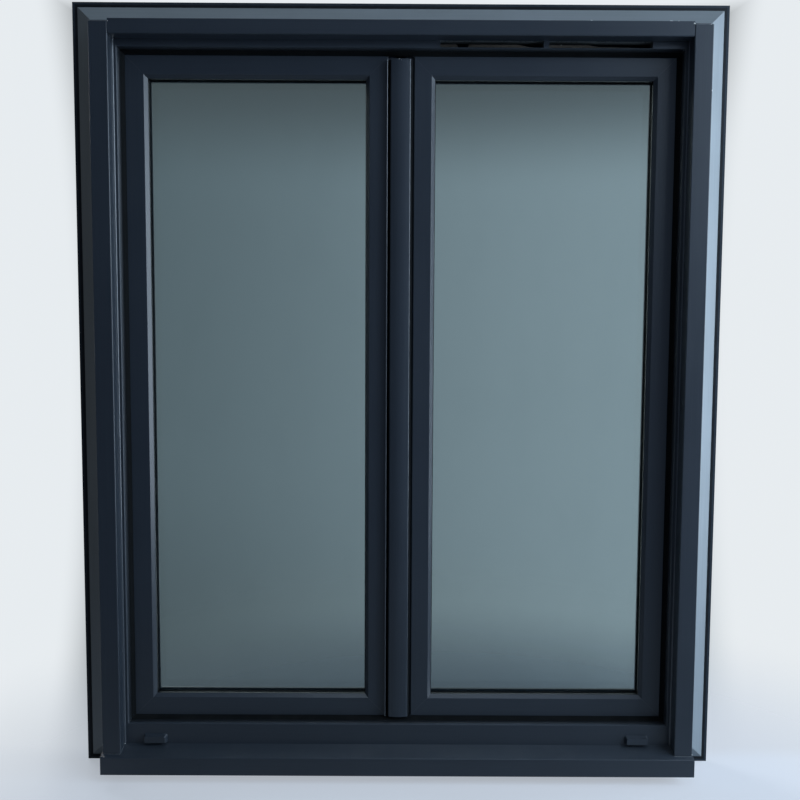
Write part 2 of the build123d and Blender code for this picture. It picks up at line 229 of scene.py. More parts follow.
def make_dust():
    """Dust that settles on upward faces and lies thinly elsewhere."""
    tree, given, made = new_group(
        "settled dust",
        [("Vector", "Vector", None), ("Amount", "Float", 0.3)],
        [("Dust", "Float")],
    )
    facing = axes(tree, place(tree, "ShaderNodeNewGeometry").outputs["Normal"])[2]
    upward = ramp(tree, facing, 0.3, 1.0, 0.12, 1.0)
    cloud = ramp(tree, noise(tree, given["Vector"], 23.0, 5.0, 0.65), 0.42, 0.72)
    feed(tree, made["Dust"], calc(tree, "MULTIPLY", calc(tree, "MULTIPLY", upward, cloud), given["Amount"]))
    return tree


def make_specks():
    """Sparse small dots, such as swarf and paint specks."""
    tree, given, made = new_group(
        "specks",
        [
            ("Vector", "Vector", None), ("Cells", "Float", 60.0),
            ("Size", "Float", 0.05), ("Share", "Float", 0.1),
        ],
        [("Speck", "Float")],
    )
    cells = place(tree, "ShaderNodeTexVoronoi")
    feed(tree, cells.inputs["Vector"], given["Vector"])
    feed(tree, cells.inputs["Scale"], given["Cells"])
    core = calc(tree, "MULTIPLY", given["Size"], 0.6)
    dot = ramp(tree, cells.outputs["Distance"], core, given["Size"], 1.0, 0.0)
    chosen = axes(tree, cells.outputs["Color"])[0]
    picked = calc(tree, "LESS_THAN", chosen, given["Share"])
    feed(tree, made["Speck"], calc(tree, "MULTIPLY", dot, picked))
    return tree


def make_scuffs():
    """Short rubbed marks that run one way."""
    tree, given, made = new_group(
        "scuffs",
        [("Vector", "Vector", None), ("Along", "Vector", (1, 1, 1)), ("Amount", "Float", 0.5)],
        [("Scuff", "Float")],
    )
    lines = noise(tree, stretched(tree, given["Vector"], given["Along"]), 1.0, 4.0, 0.7)
    patches = ramp(tree, noise(tree, given["Vector"], 9.0, 2.0), 0.5, 0.66)
    scuff = calc(tree, "MULTIPLY", ramp(tree, lines, 0.63, 0.72), patches)
    feed(tree, made["Scuff"], calc(tree, "MULTIPLY", scuff, given["Amount"]))
    return tree


grain_group = make_grain()
mitre_group = make_mitre()
dust_group = make_dust()
speck_group = make_specks()
scuff_group = make_scuffs()

# Colours of the finishes
FOIL = (0.028, 0.039, 0.056, 1)
FOIL_LIGHT = (0.033, 0.046, 0.065, 1)
# Lighter foil for scuffs, weld lines and the strip's tone, and a painted highlight on the frame's inner
# front edge
FOIL_RUBBED_AND_HIGHLIGHT = (0.075, 0.088, 0.108, 1)
BARE_PVC = (0.32, 0.37, 0.415, 1)
BARE_PVC_SHADED = (0.285, 0.33, 0.365, 1)
MILLED_PVC = (0.17, 0.20, 0.225, 1)
CUT_PVC = (0.72, 0.74, 0.74, 1)
CHIP = (0.94, 0.96, 0.97, 1)
TORN_PVC = (0.105, 0.092, 0.078, 1)
TORN_PVC_DARK = (0.055, 0.050, 0.045, 1)
DUST = (0.16, 0.16, 0.155, 1)
# Near-black rubber for the seals, also used as painted shade on the leaves' walls by the glass, the frame's
# inner sides and the spacer's slits
RUBBER_AND_PAINTED_SHADE = (0.0065, 0.0078, 0.0092, 1)
RUBBER_LIGHT_AND_PAINTED_SHADE = (0.0105, 0.0122, 0.014, 1)
SOFT_LIP = (0.060, 0.074, 0.095, 1)
SOFT_LIP_LIGHT = (0.068, 0.083, 0.105, 1)
STRIP = (0.0095, 0.0115, 0.0145, 1)
STRIP_LIGHT = (0.034, 0.047, 0.064, 1)
GLASS = (0.75, 0.825, 0.835, 1)
GLASS_DUSTY = (0.735, 0.81, 0.82, 1)
GLASS_SHADE = (0.86, 0.9, 0.9, 1)
ALLOY = (0.25, 0.26, 0.275, 1)
ALLOY_LIGHT = (0.30, 0.31, 0.325, 1)
COATED = (0.030, 0.037, 0.047, 1)
COATED_LIGHT = (0.036, 0.044, 0.055, 1)

# Width of the weld lines at the mitres
WELD_WIDTH = 0.4 * MM

# Streak scales along a rail and along an upright
RAIL = (7.0, 620.0, 620.0)
UPRIGHT = (620.0, 620.0, 7.0)


def new_material(name):
    """Material with an empty tree, its Principled shader and its Object coordinates."""
    material = bpy.data.materials.new(name)
    material.use_nodes = True
    tree = material.node_tree
    tree.nodes.clear()
    shader = tree.nodes.new("ShaderNodeBsdfPrincipled")
    output = tree.nodes.new("ShaderNodeOutputMaterial")
    tree.links.new(shader.outputs[0], output.inputs["Surface"])
    position = tree.nodes.new("ShaderNodeTexCoord").outputs["Object"]
    return material, tree, shader, position


def bump(tree, shader, height, strength, distance):
    """Bump from a height into the shader's normal."""
    node = place(tree, "ShaderNodeBump")
    node.inputs["Strength"].default_value = strength
    node.inputs["Distance"].default_value = distance
    feed(tree, node.inputs["Height"], height)
    tree.links.new(node.outputs[0], shader.inputs["Normal"])


def paint(nodes_named, material):
    """Gives CAD nodes a material."""
    for name in nodes_named:
        nodes[name].data.materials.clear()
        nodes[name].data.materials.append(material)


def beyond_outline(tree, position, outline):
    """How far a point lies outside a rectangle across the window; negative inside."""
    left, right, bottom, top = outline
    x, y, z = axes(tree, position)
    sideways = calc(tree, "MAXIMUM", calc(tree, "SUBTRACT", x, right), calc(tree, "SUBTRACT", left, x))
    upward = calc(tree, "MAXIMUM", calc(tree, "SUBTRACT", z, top), calc(tree, "SUBTRACT", bottom, z))
    return calc(tree, "MAXIMUM", sideways, upward)


def shaded_lip_wall(tree, position, outline):
    """Mask of the narrow wall between a leaf's bevel and its glass, painted dark there as shade."""
    inward = calc(tree, "MULTIPLY", beyond_outline(tree, position, outline), -1.0)
    outside = calc(tree, "LESS_THAN", axes(tree, position)[1], -20 * MM)
    return calc(tree, "MULTIPLY", calc(tree, "GREATER_THAN", inward, bevel_end), outside)


def slot_walls(tree, position):
    """Mask of the milled walls inside the air-inlet slots, where the PVC is bare."""
    slots = (slot_lefts[0], slot_lefts[1] + slot_length, slot_low, slot_high)
    within = calc(tree, "LESS_THAN", beyond_outline(tree, position, slots), 0.1 * MM)
    inside = calc(tree, "GREATER_THAN", axes(tree, position)[1], frame_front + 0.4 * MM)
    return calc(tree, "MULTIPLY", within, inside)


def foil_colour(tree, position, along, dust=0.06):
    """Foil colour, grain height and dust for a profile that runs one way."""
    grain = use(tree, grain_group, Vector=position, Along=along)
    colour = tint(tree, grain["Shade"], FOIL, FOIL_LIGHT)
    scuff = use(tree, scuff_group, Vector=position, Along=along, Amount=0.2)["Scuff"]
    colour = tint(tree, scuff, colour, FOIL_RUBBED_AND_HIGHLIGHT)
    settled = use(tree, dust_group, Vector=position, Amount=dust)["Dust"]
    colour = tint(tree, settled, colour, DUST)
    speck = use(tree, speck_group, Vector=position, Cells=45.0, Size=0.022, Share=0.02)["Speck"]
    colour = tint(tree, calc(tree, "MULTIPLY", speck, 0.4), colour, CUT_PVC)
    return colour, grain, settled


def finish_foil(tree, shader, colour, grain, settled, relief=None, dull=0.0, coat=1.0):
    """Feeds a foil's colour, roughness and fine relief to its shader."""
    feed(tree, shader.inputs["Base Color"], colour)
    rough = ramp(tree, grain["Shade"], 0.0, 1.0, 0.36, 0.44)
    rough = calc(tree, "ADD", rough, calc(tree, "MULTIPLY", settled, 0.3))
    feed(tree, shader.inputs["Roughness"], calc(tree, "MAXIMUM", rough, dull))
    shader.inputs["Specular IOR Level"].default_value = 0.4
    feed(tree, shader.inputs["Coat Weight"], coat)
    shader.inputs["Coat Roughness"].default_value = 0.27
    height = grain["Height"]
    if relief is not None:
        height = calc(tree, "SUBTRACT", height, calc(tree, "MULTIPLY", relief, 6.0))
    bump(tree, shader, height, 0.35, 0.00006)


def foil(name, along, outline=None):
    """Anthracite foil, with weld lines where an outline's members meet, and painted shade on the wall
    between bevel and glass.
    """
    material, tree, shader, position = new_material(name)
    colour, grain, settled = foil_colour(tree, position, along)
    weld, dull = None, 0.0
    if outline is not None:
        left, right, bottom, top = outline
        weld = use(
            tree, mitre_group, Vector=position, Left=left, Right=right,
            Bottom=bottom, Top=top, Width=WELD_WIDTH,
        )["Weld"]
        colour = tint(tree, calc(tree, "MULTIPLY", weld, 0.7), colour, FOIL_RUBBED_AND_HIGHLIGHT)
        # Painted shade: the wall between bevel and glass takes near-black and goes matt
        wall = shaded_lip_wall(tree, position, outline)
        colour = tint(tree, wall, colour, RUBBER_AND_PAINTED_SHADE)
        dull = calc(tree, "MULTIPLY", wall, 0.9)
    finish_foil(tree, shader, colour, grain, settled, weld, dull)
    return material


def frame_finish(name, along, edge_wear_and_highlight):
    """Foil on the frame's faces and bare PVC on its sides and on the wing's flank."""
    material, tree, shader, position = new_material(name)
    colour, grain, settled = foil_colour(tree, position, along)
    weld = use(
        tree, mitre_group, Vector=position, Left=opening[0], Right=opening[1],
        Bottom=opening[2], Top=opening[3], Width=WELD_WIDTH,
    )["Weld"]
    colour = tint(tree, calc(tree, "MULTIPLY", weld, 0.3), colour, FOIL_RUBBED_AND_HIGHLIGHT)
    depth = axes(tree, position)[1]
    at_edge = calc(tree, "LESS_THAN", beyond_outline(tree, position, opening), 2.7 * MM)
    # Painted highlight with some wear: the front arris along the opening is lightened, strongly on the
    # uprights, faintly on the rails
    edge_wear_and_highlight_ramp = ramp(tree, depth, frame_front + 2.0 * MM, frame_front + 3.2 * MM, edge_wear_and_highlight, 0.0)
    rubbed = calc(tree, "MULTIPLY", at_edge, edge_wear_and_highlight_ramp)
    colour = tint(tree, rubbed, colour, FOIL_RUBBED_AND_HIGHLIGHT)
    # Painted shade: behind that arris the opening's inner sides are darkened towards near-black
    edge_shade = ramp(tree, depth, frame_front + 2.5 * MM, frame_front + 4.5 * MM, 0.0, 0.7)
    behind = calc(tree, "MULTIPLY", at_edge, edge_shade)
    colour = tint(tree, behind, colour, RUBBER_LIGHT_AND_PAINTED_SHADE)
    milled = slot_walls(tree, position)
    colour = tint(tree, milled, colour, MILLED_PVC)
    outside = ramp(tree, beyond_outline(tree, position, body), -0.3 * MM, -0.2 * MM)
    bare = calc(tree, "MULTIPLY", outside, calc(tree, "LESS_THAN", depth, frame_back - 0.4 * MM))
    pale = tint(tree, grain["Shade"], BARE_PVC, BARE_PVC_SHADED)
    pale = tint(tree, calc(tree, "MULTIPLY", settled, 2.0), pale, DUST)
    pale = tint(tree, calc(tree, "MULTIPLY", weld, 0.55), pale, TORN_PVC)
    colour = tint(tree, bare, colour, pale)
    varnish = calc(tree, "SUBTRACT", 1.0, calc(tree, "MAXIMUM", bare, milled))
    finish_foil(tree, shader, colour, grain, settled, weld, 0.0, varnish)
    return material


def trim_finish(name, along):
    """Foil on the surround trim, with pale PVC at its sawn ends."""
    material, tree, shader, position = new_material(name)
    colour, grain, settled = foil_colour(tree, position, along)
    x, y, z = axes(tree, position)
    ahead = calc(tree, "SUBTRACT", frame_front, y)
    slope = calc(tree, "SUBTRACT", sill_top, calc(tree, "MULTIPLY", ahead, sill_fall / sill_projection))
    above_sill = calc(tree, "SUBTRACT", z, slope)
    below_top = calc(tree, "SUBTRACT", trim_high.z, z)
    uneven = calc(tree, "MULTIPLY", noise(tree, position, 220.0, 3.0), 1.6 * MM)
    sawn = ramp(tree, calc(tree, "MINIMUM", above_sill, below_top), 0.0, uneven, 1.0, 0.0)
    colour = tint(tree, calc(tree, "MULTIPLY", sawn, 0.45), colour, CUT_PVC)
    finish_foil(tree, shader, colour, grain, settled)
    return material


def rubber(name, along):
    """Black extruded seal with a faint bloom."""
    material, tree, shader, position = new_material(name)
    grain = use(tree, grain_group, Vector=position, Along=along, Grain=1400.0)
    settled = use(tree, dust_group, Vector=position, Amount=0.04)["Dust"]
    colour = tint(tree, grain["Shade"], RUBBER_AND_PAINTED_SHADE, RUBBER_LIGHT_AND_PAINTED_SHADE)
    feed(tree, shader.inputs["Base Color"], tint(tree, settled, colour, DUST))
    feed(tree, shader.inputs["Roughness"], ramp(tree, grain["Shade"], 0.0, 1.0, 0.62, 0.75))
    shader.inputs["Specular IOR Level"].default_value = 0.05
    bump(tree, shader, grain["Height"], 0.3, 0.00008)
    return material


def strip_finish(name):
    """Edge strip of the wing: a dark root and a lighter outer lip."""
    material, tree, shader, position = new_material(name)
    grain = use(tree, grain_group, Vector=position, Along=(60.0, 60.0, 60.0))
    settled = use(tree, dust_group, Vector=position, Amount=0.05)["Dust"]
    edge = (cad_low.x, cad_high.x, cad_low.z, cad_high.z)
    inward = calc(tree, "MULTIPLY", beyond_outline(tree, position, edge), -1.0)
    lip = ramp(tree, inward, 3.6 * MM, 4.6 * MM, 1.0, 0.0)
    colour = tint(tree, lip, STRIP, STRIP_LIGHT)
    colour = tint(tree, calc(tree, "MULTIPLY", grain["Shade"], 0.15), colour, FOIL_RUBBED_AND_HIGHLIGHT)
    feed(tree, shader.inputs["Base Color"], tint(tree, settled, colour, DUST))
    feed(tree, shader.inputs["Roughness"], ramp(tree, grain["Shade"], 0.0, 1.0, 0.4, 0.52))
    shader.inputs["Specular IOR Level"].default_value = 0.25
    bump(tree, shader, calc(tree, "ADD", grain["Height"], calc(tree, "MULTIPLY", lip, 3.0)), 0.3, 0.00006)
    return material


def glass_finish(name):
    """Clear double glazing with a faint film of dust; lamps shine through it."""
    material, tree, shader, position = new_material(name)
    film = ramp(tree, noise(tree, stretched(tree, position, (5.0, 1.0, 2.0)), 2.0, 5.0, 0.6), 0.45, 0.8)
    speck = use(tree, speck_group, Vector=position, Cells=28.0, Size=0.02, Share=0.05)["Speck"]
    feed(tree, shader.inputs["Base Color"], tint(tree, film, GLASS, GLASS_DUSTY))
    feed(tree, shader.inputs["Roughness"], calc(tree, "MULTIPLY", speck, 0.25))
    shader.inputs["Transmission Weight"].default_value = 1.0
    shader.inputs["IOR"].default_value = 1.5
    clear = tree.nodes.new("ShaderNodeBsdfTransparent")
    clear.inputs[0].default_value = GLASS_SHADE
    path = tree.nodes.new("ShaderNodeLightPath")
    either = calc(tree, "MAXIMUM", path.outputs["Is Shadow Ray"], path.outputs["Is Diffuse Ray"])
    mixed = tree.nodes.new("ShaderNodeMixShader")
    tree.links.new(either, mixed.inputs[0])
    tree.links.new(shader.outputs[0], mixed.inputs[1])
    tree.links.new(clear.outputs[0], mixed.inputs[2])
    output = next(n for n in tree.nodes if n.type == "OUTPUT_MATERIAL")
    tree.links.new(mixed.outputs[0], output.inputs["Surface"])
    return material


def metal(name, colour, lighter, rough, metallic=0.0):
    """Satin metal or coated metal with a fine orange peel."""
    material, tree, shader, position = new_material(name)
    grain = use(tree, grain_group, Vector=position, Along=(90.0, 90.0, 90.0), Grain=700.0)
    settled = use(tree, dust_group, Vector=position, Amount=0.05)["Dust"]
    mottled = tint(tree, grain["Shade"], colour, lighter)
    feed(tree, shader.inputs["Base Color"], tint(tree, settled, mottled, DUST))
    feed(tree, shader.inputs["Roughness"], ramp(tree, grain["Shade"], 0.0, 1.0, rough - 0.05, rough + 0.05))
    shader.inputs["Metallic"].default_value = metallic
    bump(tree, shader, grain["Height"], 0.2, 0.00004)
    return material


def lip_finish(name):
    """Soft glossy lip moulded along the trim's edge."""
    material, tree, shader, position = new_material(name)
    grain = use(tree, grain_group, Vector=position, Along=UPRIGHT, Grain=600.0)
    feed(tree, shader.inputs["Base Color"], tint(tree, grain["Shade"], SOFT_LIP, SOFT_LIP_LIGHT))
    feed(tree, shader.inputs["Roughness"], ramp(tree, grain["Shade"], 0.0, 1.0, 0.22, 0.3))
    shader.inputs["Specular IOR Level"].default_value = 0.8
    shader.inputs["Coat Weight"].default_value = 1.0
    shader.inputs["Coat Roughness"].default_value = 0.15
    bump(tree, shader, grain["Height"], 0.15, 0.00003)
    return material


def torn_finish(name, colour, darker):
    """Rough bare PVC where the skin is cut or chipped away."""
    material, tree, shader, position = new_material(name)
    grain = use(tree, grain_group, Vector=position, Along=(400.0, 400.0, 400.0), Grain=1600.0)
    feed(tree, shader.inputs["Base Color"], tint(tree, grain["Shade"], colour, darker))
    feed(tree, shader.inputs["Roughness"], ramp(tree, grain["Shade"], 0.0, 1.0, 0.6, 0.8))
    shader.inputs["Specular IOR Level"].default_value = 0.2
    bump(tree, shader, grain["Height"], 0.6, 0.0002)
    return material


# Finishes on the CAD pieces
# The last number sets the painted highlight with wear on the frame's inner front edge
paint(("frame_head", "frame_bottom_rail"), frame_finish("frame rail", RAIL, 0.1))
paint(("frame_left_jamb", "frame_right_jamb"), frame_finish("frame upright", UPRIGHT, 0.75))
paint(("trim_left", "trim_right"), trim_finish("trim upright", UPRIGHT))
rail_foil = foil("foil along", RAIL)
upright_foil = foil("foil upright", UPRIGHT)
paint(("trim_head", "sill"), rail_foil)
paint(("outside_cover_strip", "room_cover_strip", "centre_core"), upright_foil)
for leaf, outline in leaf_outlines.items():
    rail, stile = foil(f"{leaf} leaf rail", RAIL, outline), foil(f"{leaf} leaf stile", UPRIGHT, outline)
    paint((f"{leaf}_leaf_top_rail", f"{leaf}_leaf_bottom_rail"), rail)
    paint((f"{leaf}_leaf_hinge_stile", f"{leaf}_leaf_meeting_stile"), stile)
    paint((f"{leaf}_cross_beads",), foil(f"{leaf} bead rail", RAIL, outline))
    paint((f"{leaf}_upright_beads",), foil(f"{leaf} bead stile", UPRIGHT, outline))
edge_strip = strip_finish("wing edge strip")
paint([f"wing_strip_{side}" for side in ("head", "bottom_rail", "left_jamb", "right_jamb")], edge_strip)
seal_rubber = rubber("seal rubber", (60.0, 60.0, 60.0))
paint(("frame_seal", "centre_seals", "left_glazing_gasket", "right_glazing_gasket"), seal_rubber)
glass = glass_finish("float glass")
paint([f"{leaf}_{pane}_pane" for leaf in leaf_outlines for pane in ("outer", "inner")], glass)
paint(("left_spacer", "right_spacer"), metal("spacer alloy", ALLOY, ALLOY_LIGHT, 0.4, 1.0))
moulded = foil("moulded cap", (300.0, 300.0, 300.0))
paint(("drain_caps", "sill_end_caps"), moulded)
coated = metal("coated metal", COATED, COATED_LIGHT, 0.4)
paint(("handle_rosette", "handle_lever", "left_hinges", "right_hinges"), coated)
soft_lip = lip_finish("soft trim lip")
torn_lip = torn_finish("torn slot lip", TORN_PVC, TORN_PVC_DARK)
chipped = torn_finish("chipped pvc", CHIP, CUT_PVC)
# Near-black for the slot burrs, and painted shade for the spacer's slit holes
hole_shade_and_burr_black = torn_finish("hole shade and burr black", RUBBER_AND_PAINTED_SHADE, RUBBER_LIGHT_AND_PAINTED_SHADE)


# Geometry Nodes trees: a cord and a fin that follow a path, and marks spaced along a path

def new_tree(name, inputs):
    """Geometry tree with named inputs: (tree, its inputs, its geometry output)."""
    tree = bpy.data.node_groups.new(name, "GeometryNodeTree")
    sockets = [("Geometry", "Geometry", None), *inputs, ("Material", "Material", None)]
    for socket_name, kind, value in sockets:
        socket = tree.interface.new_socket(socket_name, in_out="INPUT", socket_type=f"NodeSocket{kind}")
        if value is not None:
            socket.default_value = value
    tree.interface.new_socket("Geometry", in_out="OUTPUT", socket_type="NodeSocketGeometry")
    entry = tree.nodes.new("NodeGroupInput")
    leaving = tree.nodes.new("NodeGroupOutput")
    return tree, entry.outputs, leaving.inputs["Geometry"]


def end_tree(tree, given, geometry, leaving):
    """Realizes the instances and sets the material."""
    solid = place(tree, "GeometryNodeRealizeInstances")
    feed(tree, solid.inputs["Geometry"], geometry)
    finish = place(tree, "GeometryNodeSetMaterial")
    feed(tree, finish.inputs["Geometry"], solid.outputs["Geometry"])
    feed(tree, finish.inputs["Material"], given["Material"])
    feed(tree, leaving, finish.outputs["Geometry"])


def make_cord_tree():
    """Round cord along the edges of a path, such as a soft lip or a bulb seal."""
    tree, given, leaving = new_tree("cord along path", [("Radius", "Float", 0.001), ("Sides", "Int", 10)])
    path = place(tree, "GeometryNodeMeshToCurve")
    feed(tree, path.inputs["Mesh"], given["Geometry"])
    section = place(tree, "GeometryNodeCurvePrimitiveCircle")
    feed(tree, section.inputs["Resolution"], given["Sides"])
    feed(tree, section.inputs["Radius"], given["Radius"])
    swept = place(tree, "GeometryNodeCurveToMesh")
    feed(tree, swept.inputs["Curve"], path.outputs["Curve"])
    feed(tree, swept.inputs["Profile Curve"], section.outputs["Curve"])
    swept.inputs["Fill Caps"].default_value = True
    end_tree(tree, given, swept.outputs["Mesh"], leaving)
    return tree


def make_fin_tree():
    """Thin upright fin with a round front edge, swept up a path."""
    tree, given, leaving = new_tree(
        "fin along path",
        [("Thickness", "Float", 0.002), ("Front", "Float", -0.01), ("Back", "Float", 0.0)],
    )
    half = calc(tree, "MULTIPLY", given["Thickness"], 0.5)
    nose = calc(tree, "ADD", given["Front"], half)
    path = place(tree, "GeometryNodeMeshToCurve")
    feed(tree, path.inputs["Mesh"], given["Geometry"])
    tip = place(tree, "GeometryNodeMeshCylinder")
    tip.inputs["Vertices"].default_value = 20
    feed(tree, tip.inputs["Radius"], half)
    length = place(tree, "GeometryNodeCurveLength")
    feed(tree, length.inputs["Curve"], path.outputs["Curve"])
    feed(tree, tip.inputs["Depth"], length.outputs["Length"])
    web = place(tree, "GeometryNodeMeshCube")
    size = place(tree, "ShaderNodeCombineXYZ")
    feed(tree, size.inputs[0], given["Thickness"])
    feed(tree, size.inputs[1], calc(tree, "SUBTRACT", given["Back"], nose))
    feed(tree, size.inputs[2], length.outputs["Length"])
    feed(tree, web.inputs["Size"], size.outputs[0])
    middle = place(tree, "GeometryNodeSampleCurve", mode="FACTOR")
    feed(tree, middle.inputs["Curves"], path.outputs["Curve"])
    middle.inputs["Factor"].default_value = 0.5
    joined = place(tree, "GeometryNodeJoinGeometry")
    for mesh, depth in (
        (tip.outputs["Mesh"], nose),
        (web.outputs["Mesh"], calc(tree, "MULTIPLY", calc(tree, "ADD", nose, given["Back"]), 0.5)),
    ):
        shift = place(tree, "ShaderNodeCombineXYZ")
        feed(tree, shift.inputs[1], depth)
        at = place(tree, "ShaderNodeVectorMath", operation="ADD")
        feed(tree, at.inputs[0], middle.outputs["Position"])
        feed(tree, at.inputs[1], shift.outputs[0])
        moved = place(tree, "GeometryNodeTransform")
        feed(tree, moved.inputs["Geometry"], mesh)
        feed(tree, moved.inputs["Translation"], at.outputs[0])
        tree.links.new(moved.outputs["Geometry"], joined.inputs["Geometry"])
    smooth = place(tree, "GeometryNodeSetShadeSmooth")
    feed(tree, smooth.inputs["Geometry"], joined.outputs["Geometry"])
    smooth.inputs["Shade Smooth"].default_value = False
    end_tree(tree, given, smooth.outputs["Geometry"], leaving)
    return tree


def spaced_points(tree, given):
    """Points at a spacing along the path's edges, and the direction of the path there."""
    path = place(tree, "GeometryNodeMeshToCurve")
    feed(tree, path.inputs["Mesh"], given["Geometry"])
    points = place(tree, "GeometryNodeCurveToPoints", mode="LENGTH")
    feed(tree, points.inputs["Curve"], path.outputs["Curve"])
    feed(tree, points.inputs["Length"], given["Spacing"])
    return points.outputs["Points"], points.outputs["Tangent"]


def scatter(tree, points, instance, rotation, scale):
    """Copies of an instance on points."""
    node = place(tree, "GeometryNodeInstanceOnPoints")
    feed(tree, node.inputs["Points"], points)
    feed(tree, node.inputs["Instance"], instance)
    feed(tree, node.inputs["Rotation"], rotation)
    feed(tree, node.inputs["Scale"], scale)
    return node.outputs["Instances"]


def make_slit_tree():
    """Small flat slits spaced along a path, each lying along it."""
    tree, given, leaving = new_tree(
        "slits along path",
        [("Spacing", "Float", 0.006), ("Size", "Vector", (0.002, 0.0004, 0.0001))],
    )
    points, tangent = spaced_points(tree, given)
    slit = place(tree, "GeometryNodeMeshCube")
    feed(tree, slit.inputs["Size"], given["Size"])
    turned = place(tree, "FunctionNodeAlignRotationToVector", axis="X")
    feed(tree, turned.inputs["Vector"], tangent)
    made = scatter(tree, points, slit.outputs["Mesh"], turned.outputs["Rotation"], (1, 1, 1))
    end_tree(tree, given, made, leaving)
    return tree


def make_burr_tree():
    """Ragged slivers left by a cutter, strewn along a path and hanging from it."""
    tree, given, leaving = new_tree(
        "burrs along path",
        [
            ("Spacing", "Float", 0.002), ("Length", "Float", 0.0014),
            ("Width", "Float", 0.0008), ("Seed", "Int", 3),
        ],
    )
    points, tangent = spaced_points(tree, given)
    sliver = place(tree, "GeometryNodeMeshCone")
    sliver.inputs["Vertices"].default_value = 5
    sliver.inputs["Radius Top"].default_value = 0.0
    feed(tree, sliver.inputs["Radius Bottom"], given["Width"])
    feed(tree, sliver.inputs["Depth"], given["Length"])
    turn = place(tree, "FunctionNodeRandomValue", data_type="FLOAT_VECTOR")
    turn.inputs["Min"].default_value = (math.pi - 0.9, -0.9, 0.0)
    turn.inputs["Max"].default_value = (math.pi + 0.9, 0.9, 6.28)
    feed(tree, turn.inputs["Seed"], given["Seed"])
    stretch = place(tree, "FunctionNodeRandomValue", data_type="FLOAT_VECTOR")
    stretch.inputs["Min"].default_value = (0.3, 0.3, 0.1)
    stretch.inputs["Max"].default_value = (1.3, 1.0, 1.5)
    feed(tree, stretch.inputs["Seed"], given["Seed"])
    made = scatter(tree, points, sliver.outputs["Mesh"], turn.outputs["Value"], stretch.outputs["Value"])
    end_tree(tree, given, made, leaving)
    return tree


def path_mesh(name, runs):
    """Mesh of edges for one or more runs of points; a run that ends where it starts is closed."""
    points, edges = [], []
    for run in runs:
        start = len(points)
        closed = run[0] == run[-1]
        kept = run[:-1] if closed else run
        points += kept
        edges += [(start + i, start + i + 1) for i in range(len(kept) - 1)]
        if closed:
            edges.append((start + len(kept) - 1, start))
    mesh = bpy.data.meshes.new(name)
    mesh.from_pydata(points, edges, [])
    return mesh


def settle(piece):
    """Rides a finished piece on the window."""
    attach(piece, "root")


def grow(name, runs, tree, material, slot, **values):
    """Piece that a Geometry Nodes tree makes along paths, turned into a plain mesh."""
    piece = bpy.data.objects.new(name, path_mesh(name, runs))
    bpy.context.scene.collection.objects.link(piece)
    modifier = piece.modifiers.new("make", "NODES")
    modifier.node_group = tree
    values["Material"] = material
    for socket in tree.interface.items_tree:
        if socket.item_type == "SOCKET" and socket.in_out == "INPUT" and socket.name in values:
            modifier[socket.identifier] = values[socket.name]
    bpy.context.view_layer.update()
    made = bpy.data.meshes.new_from_object(piece.evaluated_get(bpy.context.evaluated_depsgraph_get()))
    piece.modifiers.remove(modifier)
    piece.data = made
    settle(piece)
    return piece


def rectangle(outline, depth):
    """Closed run of points round an outline at a depth."""
    left, right, bottom, top = outline
    corners = [(left, depth, bottom), (right, depth, bottom), (right, depth, top), (left, depth, top)]
    return [*corners, corners[0]]


def drawn_in(outline, amount):
    """Outline drawn in by an amount on all sides."""
    left, right, bottom, top = outline
    return (left + amount, right - amount, bottom + amount, top - amount)


cord_tree = make_cord_tree()
fin_tree = make_fin_tree()
slit_tree = make_slit_tree()
burr_tree = make_burr_tree()

# Soft lip in the corner where the surround trim meets the frame's face
lip_runs = []
for trim_edge in (-head_trim_high.x, head_trim_high.x):
    foot, head = (trim_edge, frame_front, sill_top + 1.0 * MM), (trim_edge, frame_front, head_trim_low.z)
    lip_runs.append([foot, head])
grow("trim_lip", lip_runs, cord_tree, soft_lip, "anthracite_skin", Radius=0.0022, Sides=16)

# Thin lip along the left of the outside cover strip, standing on the left leaf's face
lip_back = leaf_back - leaf_depth - 0.3 * MM
lip_front = cover_low.y + 2.7 * MM
lip_x, lip_end = -22.7 * MM, 0.5 * MM
grow(
    "cover_lip", [[(lip_x, 0.0, cover_low.z + lip_end), (lip_x, 0.0, cover_high.z - lip_end)]],
    fin_tree, soft_lip, "anthracite_skin", Thickness=0.0021, Front=lip_front, Back=lip_back,
)

# Bulb seal behind the leaves' flanges, pressed on the frame's room side
flange_gap_middle = frame_back + 1.5 * MM
both_leaves = (leaf_outlines["left"][0], leaf_outlines["right"][1], *leaf_heights)
flange_line = drawn_in(both_leaves, -16 * MM)
grow(
    "flange_seal", [rectangle(flange_line, flange_gap_middle)],
    cord_tree, seal_rubber, "black_rubber", Radius=0.0016, Sides=10,
)

# Breather slits along the middle of the spacer bars, on the side that faces the cavity, drawn as thin
# near-black sheets: painted shade for their holes
for leaf in leaf_outlines:
    spacer_low, spacer_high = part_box(f"{leaf}_spacer")
    inner_face = drawn_in((spacer_low.x, spacer_high.x, spacer_low.z, spacer_high.z), 7 * MM)
    spacer_middle = (spacer_low.y + spacer_high.y) / 2
    slit_rows = [rectangle(inner_face, spacer_middle + offset) for offset in (-1.8 * MM, 1.8 * MM)]
    grow(
        f"{leaf}_spacer_slits", slit_rows,
        slit_tree, hole_shade_and_burr_black, "spacer_alloy", Spacing=0.006, Size=(0.0024, 0.0005, 0.0001),
    )

